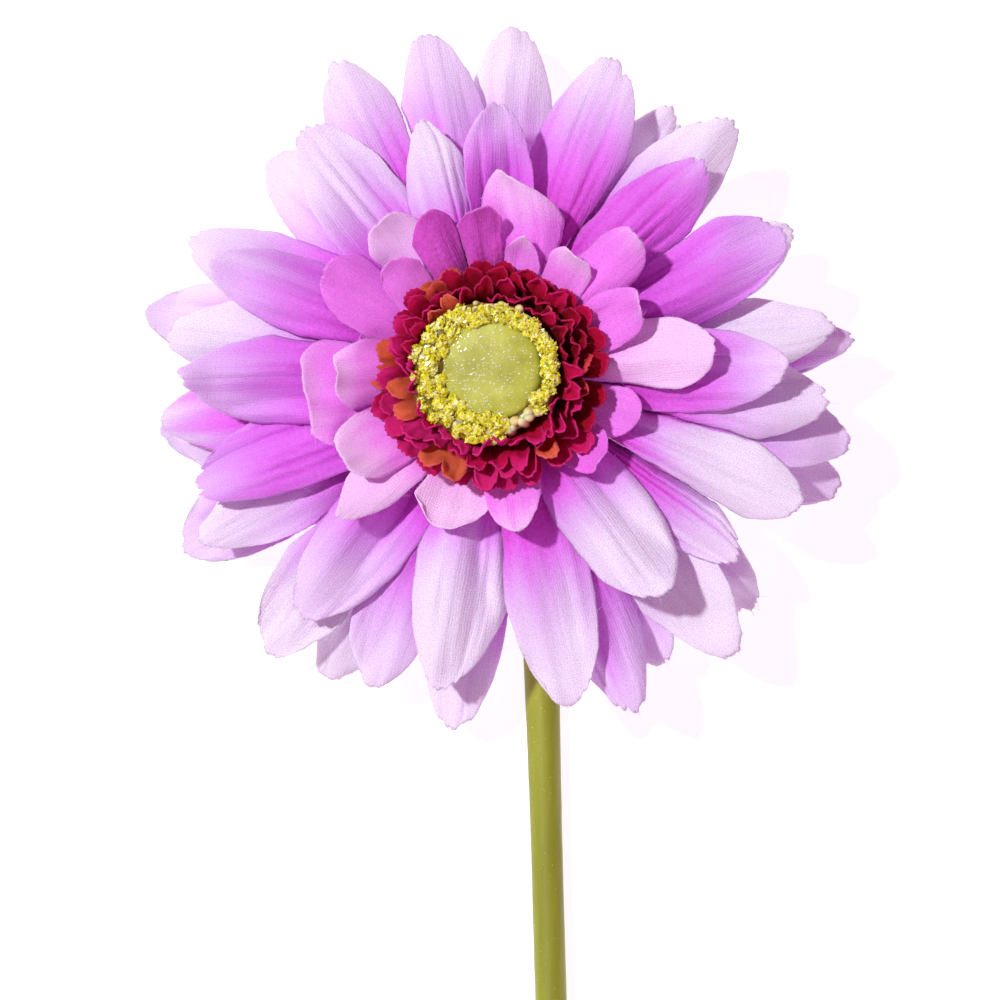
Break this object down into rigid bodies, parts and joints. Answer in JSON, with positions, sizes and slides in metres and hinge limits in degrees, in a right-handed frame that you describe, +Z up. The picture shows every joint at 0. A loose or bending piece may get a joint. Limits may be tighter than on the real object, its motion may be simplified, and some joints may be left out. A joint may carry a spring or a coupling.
{
  "type": "artificial cut gerbera",
  "caption": "Artificial gerbera lying on its stem, face up: layered fabric petals, a crimson fringe, a gold crumb ring and a green disc on a sheathed wire stem.",
  "frame": {"origin": "under the middle of the whole flower, on the table it lies on", "axes": "+Z up from the table and out of the flower's face, +Y along the stem from its cut end to the head, +X to the right seen from above with the head at the top"},
  "size_m": [0.1132, 0.3454, 0.0392],
  "materials": {
    "petal_fabric": "woven polyester, orchid at the root and almost white at the tip",
    "fringe_fabric": "woven polyester, crimson with some orange lobes",
    "gold_glitter": "glossy yellow-gold glitter crumbs",
    "cream_plastic": "soft cream stamens",
    "lime_plastic": "slightly clear lime green with small white specks",
    "stem_plastic": "moulded olive green",
    "wire_steel": "drawn wire"
  },
  "bodies": {
    "root": {"calyx": "stem_plastic", "petal_sheet_1": "petal_fabric", "petal_sheet_2": "petal_fabric", "petal_sheet_3": "petal_fabric", "petal_sheet_4": "petal_fabric", "small_petal_sheet_1": "petal_fabric", "small_petal_sheet_2": "petal_fabric", "fringe_sheet_1": "fringe_fabric", "fringe_sheet_2": "fringe_fabric", "fringe_sheet_3": "fringe_fabric", "fringe_sheet_4": "fringe_fabric", "stamen_ring": "cream_plastic", "gold_crumb_ring": "gold_glitter", "centre_disc": "lime_plastic", "stem": "stem_plastic", "stem_wire": "wire_steel"}
  },
  "joints": []
}
